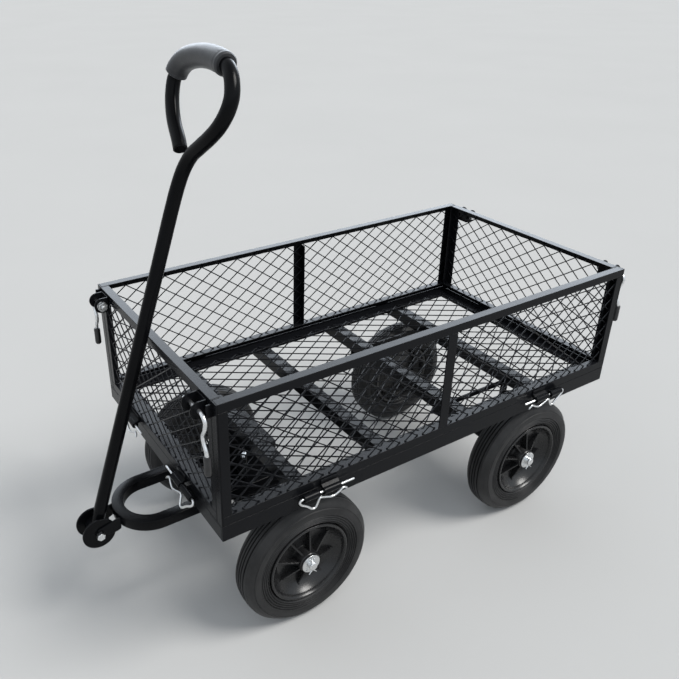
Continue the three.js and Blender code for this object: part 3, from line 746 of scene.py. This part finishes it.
def wheel(end, side, place):
    """A tyre on its ribbed rim, and the axle end it turns on, with its washers and split pin."""
    name = f"{end}_{side}"
    centre = (WHEEL_X[end], WHEEL_R)
    body = f"wheel_{name}"
    tyre = Piece(f"tyre_rubber_{name}").turned(tyre_profile(), centre, 112)
    tyre.finish(body, "tyre_rubber", [f"tyre_{name}"], place, bevel=0, smooth=32)

    rim = Piece(f"rim_moulding_{name}").turned(wheel_profile(), centre, 96)
    for k in range(RIBS):
        angle = math.radians(-11 + 360 / RIBS * k)
        c, s = math.cos(angle), math.sin(angle)
        rib = [(19.6, -215.5), (56, -203.2), (62.5, -205), (62.5, -196.8), (19.6, -196.8)]
        walls = []
        for offset in (-RIB_HALF, RIB_HALF):
            walls.append([
                (centre[0] + r * c - offset * s, y, centre[1] + r * s + offset * c) for r, y in rib
            ])
        rim.rings(walls)
    rim.finish(body, "rim_plastic", [f"rim_{name}"], place, bevel=0.4, smooth=32)

    stub = Piece(f"axle_end_{name}")
    profile = ((-232.8, 6.6), (-231.6, 7.9), (-200, STUB_R), (-155, STUB_R))
    stub.rings([[(u, y, v) for u, v in circle(centre, r, 32)] for y, r in profile])
    for washer in WASHERS:
        stub.pipe("y", washer, centre, WASHER_R, STUB_R + 0.05, 48)
    parent = "steering" if end == "front" else "chassis"
    stub.finish(parent, "zinc", [], place, bevel=0.4, smooth=35)
    cotter(end, side, centre, parent, place)


def cotter(end, side, centre, body, place):
    """A split pin through the axle: a round eye, and two legs spread below."""
    x, z = centre
    pin = Piece(f"split_pin_{end}_{side}")
    for way in (-1, 1):
        path = smooth_path([Vector((x + way * u, COTTER_Y, z + v)) for u, v in COTTER_LEG], 5)
        pin.tube(path, 0.95, 10)
    pin.finish(body, "zinc", [f"cotter_pin_{end}_{side}"], place, bevel=0, smooth=60)


for end, _ in ENDS:
    for side, flip_y in SIDES:
        wheel(end, side, placing(False, False, flip_y))


# ---------------------------------------------------------------- axles and running gear
BEAM_HALF = 156  # the axle beams stop here, and the zinc axle ends take over


def dress(name, node, slot, bevel, half=None):
    """A piece with a CAD node's own shape, its flat faces joined and its edges rounded.

    Where half is given, what lies further than that from the cart's middle is left to other pieces.
    """
    piece = Piece(name)
    shape = piece.bm
    shape.from_mesh(frame["nodes"][node].data)
    bmesh.ops.remove_doubles(shape, verts=shape.verts, dist=1e-6)
    bmesh.ops.dissolve_limit(shape, angle_limit=math.radians(1), verts=shape.verts, edges=shape.edges)
    back = (Matrix.Translation((MIDDLE, 0, 0)) @ Matrix.Scale(MM, 4)).inverted()
    shape.transform(back)
    if half:
        for way in (-1, 1):
            bmesh.ops.bisect_plane(shape, geom=shape.verts[:] + shape.edges[:] + shape.faces[:],
                                   plane_co=(0, way * half, 0), plane_no=(0, way, 0), clear_outer=True)
            bmesh.ops.contextual_create(shape, geom=[edge for edge in shape.edges if edge.is_boundary])
    piece.finish(BODY_OF[node], slot, [node], bevel=bevel, smooth=30)


dress("front_axle_beam", "front_axle", "black_paint", 0.5, BEAM_HALF)
dress("rear_axle_beam", "rear_axle", "black_paint", 0.5, BEAM_HALF)
dress("rear_carrier_plates", "rear_axle_carrier", "black_paint", 0.7)
dress("bolster_box", "front_bolster", "black_paint", 0.8)
dress("kingpin_bolt", "kingpin", "zinc", 0.5)


# ---------------------------------------------------------------- tongue and clevis
def tongue():
    """A square tube with rounded corners, bent to a U."""
    corner = 0.14  # radius of the tube's corners, where half its width is 1
    section = []
    for cx, cy, start in ((1, 1, 0), (-1, 1, 90), (-1, -1, 180), (1, -1, 270)):
        section += arc((cx * (1 - corner), cy * (1 - corner)), corner, start, start + 90, 4)
    half, spread, level = 10.0, 57.0, 190.0
    root, middle, bend = -216, -340, -462
    outline = [(root, -spread), (middle, -spread)]
    outline += arc((bend, 0), spread, 270, 90, 36)
    outline += [(middle, spread), (root, spread)]
    path = [Vector((x, y, level)) for x, y in outline]
    piece = Piece("tongue_tube").tube(path, half, section=section)
    piece.finish("steering", "black_paint", ["tongue"], bevel=0, smooth=15)


tongue()
PIVOT = Vector((-563.5, 0, 176.5))


def clevis(side, place):
    piece = Piece(f"clevis_plate_{side}")
    centre = (PIVOT.x, PIVOT.z)
    piece.pipe("y", (-19, -15), centre, 29, 5.4, 72)
    arm = [(-569, 168), (-532, 170.5), (-526.4, 173), (-526.4, 196), (-532, 196), (-566, 187)]
    piece.prism("y", (-22, -18.6), arm)
    piece.weld((-526.8, -20.5, 175), (-526.8, -20.5, 195), 1.6)
    piece.finish("steering", "black_paint", [f"clevis_{side}"], place, bevel=0.9, segments=3)


clevis("near", placing())
clevis("far", placing(flip_y=True))


def clevis_bolt():
    centre = (PIVOT.x, PIVOT.z)
    piece = Piece("pivot_bolt")
    piece.rod("y", (-22, 31), centre, 5.0, 28)
    hex_nut(piece, (-29.5, -22.3), centre, 7.6)
    hex_nut(piece, (22.3, 29.3), centre, 7.8)
    piece.finish("steering", "zinc", ["clevis_bolt"], bevel=0.3, smooth=35)


clevis_bolt()

# ---------------------------------------------------------------- handle
LEAN = math.radians(18.7)
TUBE = 11.0  # radius of the handle's bar
COVERED = slice(10, 17)  # the points of the loop that the foam covers
# The handle's centre line, as (along the shaft from the pivot, sideways).
SHAFT = [(4, 0), (180, -1), (360, -2), (500, -2.8), (560, -3)]
LOOP = [
    (602, -5), (632, -11), (655, -24), (672, -44), (690, -66), (709, -84), (730, -95), (749, -97),
    (767, -89), (780, -77), (788, -62), (792, -36), (793, 0), (789, 34), (780, 63), (768, 78),
    (757, 84), (745, 86), (719, 77), (692, 56), (668, 26), (657, 14),
]


def on_handle(along, sideways):
    return Vector((PIVOT.x + along * math.sin(LEAN), sideways, PIVOT.z + along * math.cos(LEAN)))


def handle():
    tube = Piece("handle_bar")
    path = [on_handle(*point) for point in SHAFT[:-1]]
    path += smooth_path([on_handle(*point) for point in SHAFT[-1:] + LOOP], 6)
    tube.tube(path, TUBE, 40, caps=False)
    end, before = path[-1], path[-2]
    outward = (end - before).normalized()
    tube.tube([end - outward * 0.4, end + outward * 1.6], lambda t: TUBE - 0.4 - 1.2 * t, 40)
    tube.pipe("y", (-14.6, 14.6), (PIVOT.x, PIVOT.z), 15, 5.6, 48)
    tube.finish("handle", "black_paint", ["handle_tube"], bevel=0.6, smooth=40)


def girth(t):
    """The foam's radius along it: an even tube with a rounded end and a shallow groove at both ends."""
    edge = min(t, 1 - t)
    for limit, radius in ((0.012, 15.2), (0.03, 17.2), (0.045, 17.4), (0.06, 16.7)):
        if edge < limit:
            return radius
    return 17.3


def grip():
    covered = smooth_path([on_handle(*point) for point in LOOP[COVERED]], 10)
    piece = Piece("foam_grip").tube(covered, girth, 48)
    piece.finish("handle", "foam", ["handle_grip"], bevel=0, smooth=50)


handle()
grip()


# ---------------------------------------------------------------- floor, light and camera
def floor():
    bpy.ops.mesh.primitive_plane_add(size=60)
    plane = bpy.context.object
    plane.name = "floor"
    material, shader = new_material("pale_floor", (0.42, 0.42, 0.415), 0.9)
    nodes = Nodes(material)
    color = nodes.ramp(nodes.noise(1.2), [(0.3, (0.415, 0.415, 0.41)), (0.7, (0.425, 0.425, 0.42))])
    nodes.link(color, shader.inputs["Base Color"])
    shader.inputs["Specular IOR Level"].default_value = 0.0
    plane.data.materials.append(material)


def area_light(name, place, size, power, color):
    light = bpy.data.lights.new(name, "AREA")
    light.shape = "RECTANGLE"
    light.size, light.size_y = size
    light.energy = power
    light.color = color
    lamp = bpy.data.objects.new(name, light)
    bpy.context.scene.collection.objects.link(lamp)
    lamp.location = place
    lamp.rotation_euler = (Vector((0, 0, 0.3)) - Vector(place)).to_track_quat("-Z", "Y").to_euler()
    return lamp


def soft_sun(name, azimuth, elevation, strength, angle, color):
    """A wide, soft light from a direction: from -Y at an azimuth of 0, and from +X at 90."""
    light = bpy.data.lights.new(name, "SUN")
    light.energy = strength
    light.angle = math.radians(angle)
    light.color = color
    lamp = bpy.data.objects.new(name, light)
    bpy.context.scene.collection.objects.link(lamp)
    a, e = math.radians(azimuth), math.radians(elevation)
    toward = Vector((math.sin(a) * math.cos(e), -math.cos(a) * math.cos(e), math.sin(e)))
    lamp.rotation_euler = toward.to_track_quat("Z", "Y").to_euler()


def studio_world():
    """A plain sky: grey at the horizon, bright from a third of the way up and grey again overhead."""
    world = bpy.data.worlds.new("studio")
    world.use_nodes = True
    tree = world.node_tree
    place = tree.nodes.new("ShaderNodeTexCoord").outputs["Generated"]
    height = tree.nodes.new("ShaderNodeSeparateXYZ")
    tree.links.new(place, height.inputs["Vector"])
    ramp = tree.nodes.new("ShaderNodeValToRGB")
    stops = ramp.color_ramp.elements
    for _ in range(2):
        stops.new(0.5)
    sky = (
        (0.05, (0.52, 0.54, 0.56)), (0.3, (0.85, 0.92, 1.0)), (0.75, (0.9, 0.95, 1.0)),
        (1.0, (0.4, 0.42, 0.45)),
    )
    for stop, (position, color) in zip(stops, sky):
        stop.position = position
        stop.color = (*color, 1)
    tree.links.new(height.outputs["Z"], ramp.inputs["Fac"])
    background = tree.nodes["Background"]
    tree.links.new(ramp.outputs["Color"], background.inputs["Color"])
    background.inputs["Strength"].default_value = 1.1
    bpy.context.scene.world = world


floor()
soft_sun("key_light", 47, 52, 3.0, 26, (1.0, 0.98, 0.95))
sheen = area_light("back_panel", (2.5, 4.0, 2.7), (6.5, 2.6), 330, (0.82, 0.9, 1.0))
sheen.visible_diffuse = False
studio_world()
bpy.context.scene.view_settings.view_transform = "Standard"


def camera():
    lens = bpy.data.cameras.new("camera")
    lens.lens = 38.89
    lens.sensor_width = 36
    lens.shift_x = 0.0891
    lens.shift_y = -0.0257
    eye = bpy.data.objects.new("camera", lens)
    bpy.context.scene.collection.objects.link(eye)
    eye.location = (-0.7966 + MIDDLE, -0.9836, 1.0692)
    azimuth, elevation, roll = (math.radians(angle) for angle in (-31.597, 27.353, -0.288))
    upright = Matrix.Rotation(azimuth, 3, "Z") @ Matrix.Rotation(math.pi / 2 - elevation, 3, "X")
    eye.rotation_euler = (upright @ Matrix.Rotation(roll, 3, "Z")).to_euler()
    bpy.context.scene.camera = eye


camera()
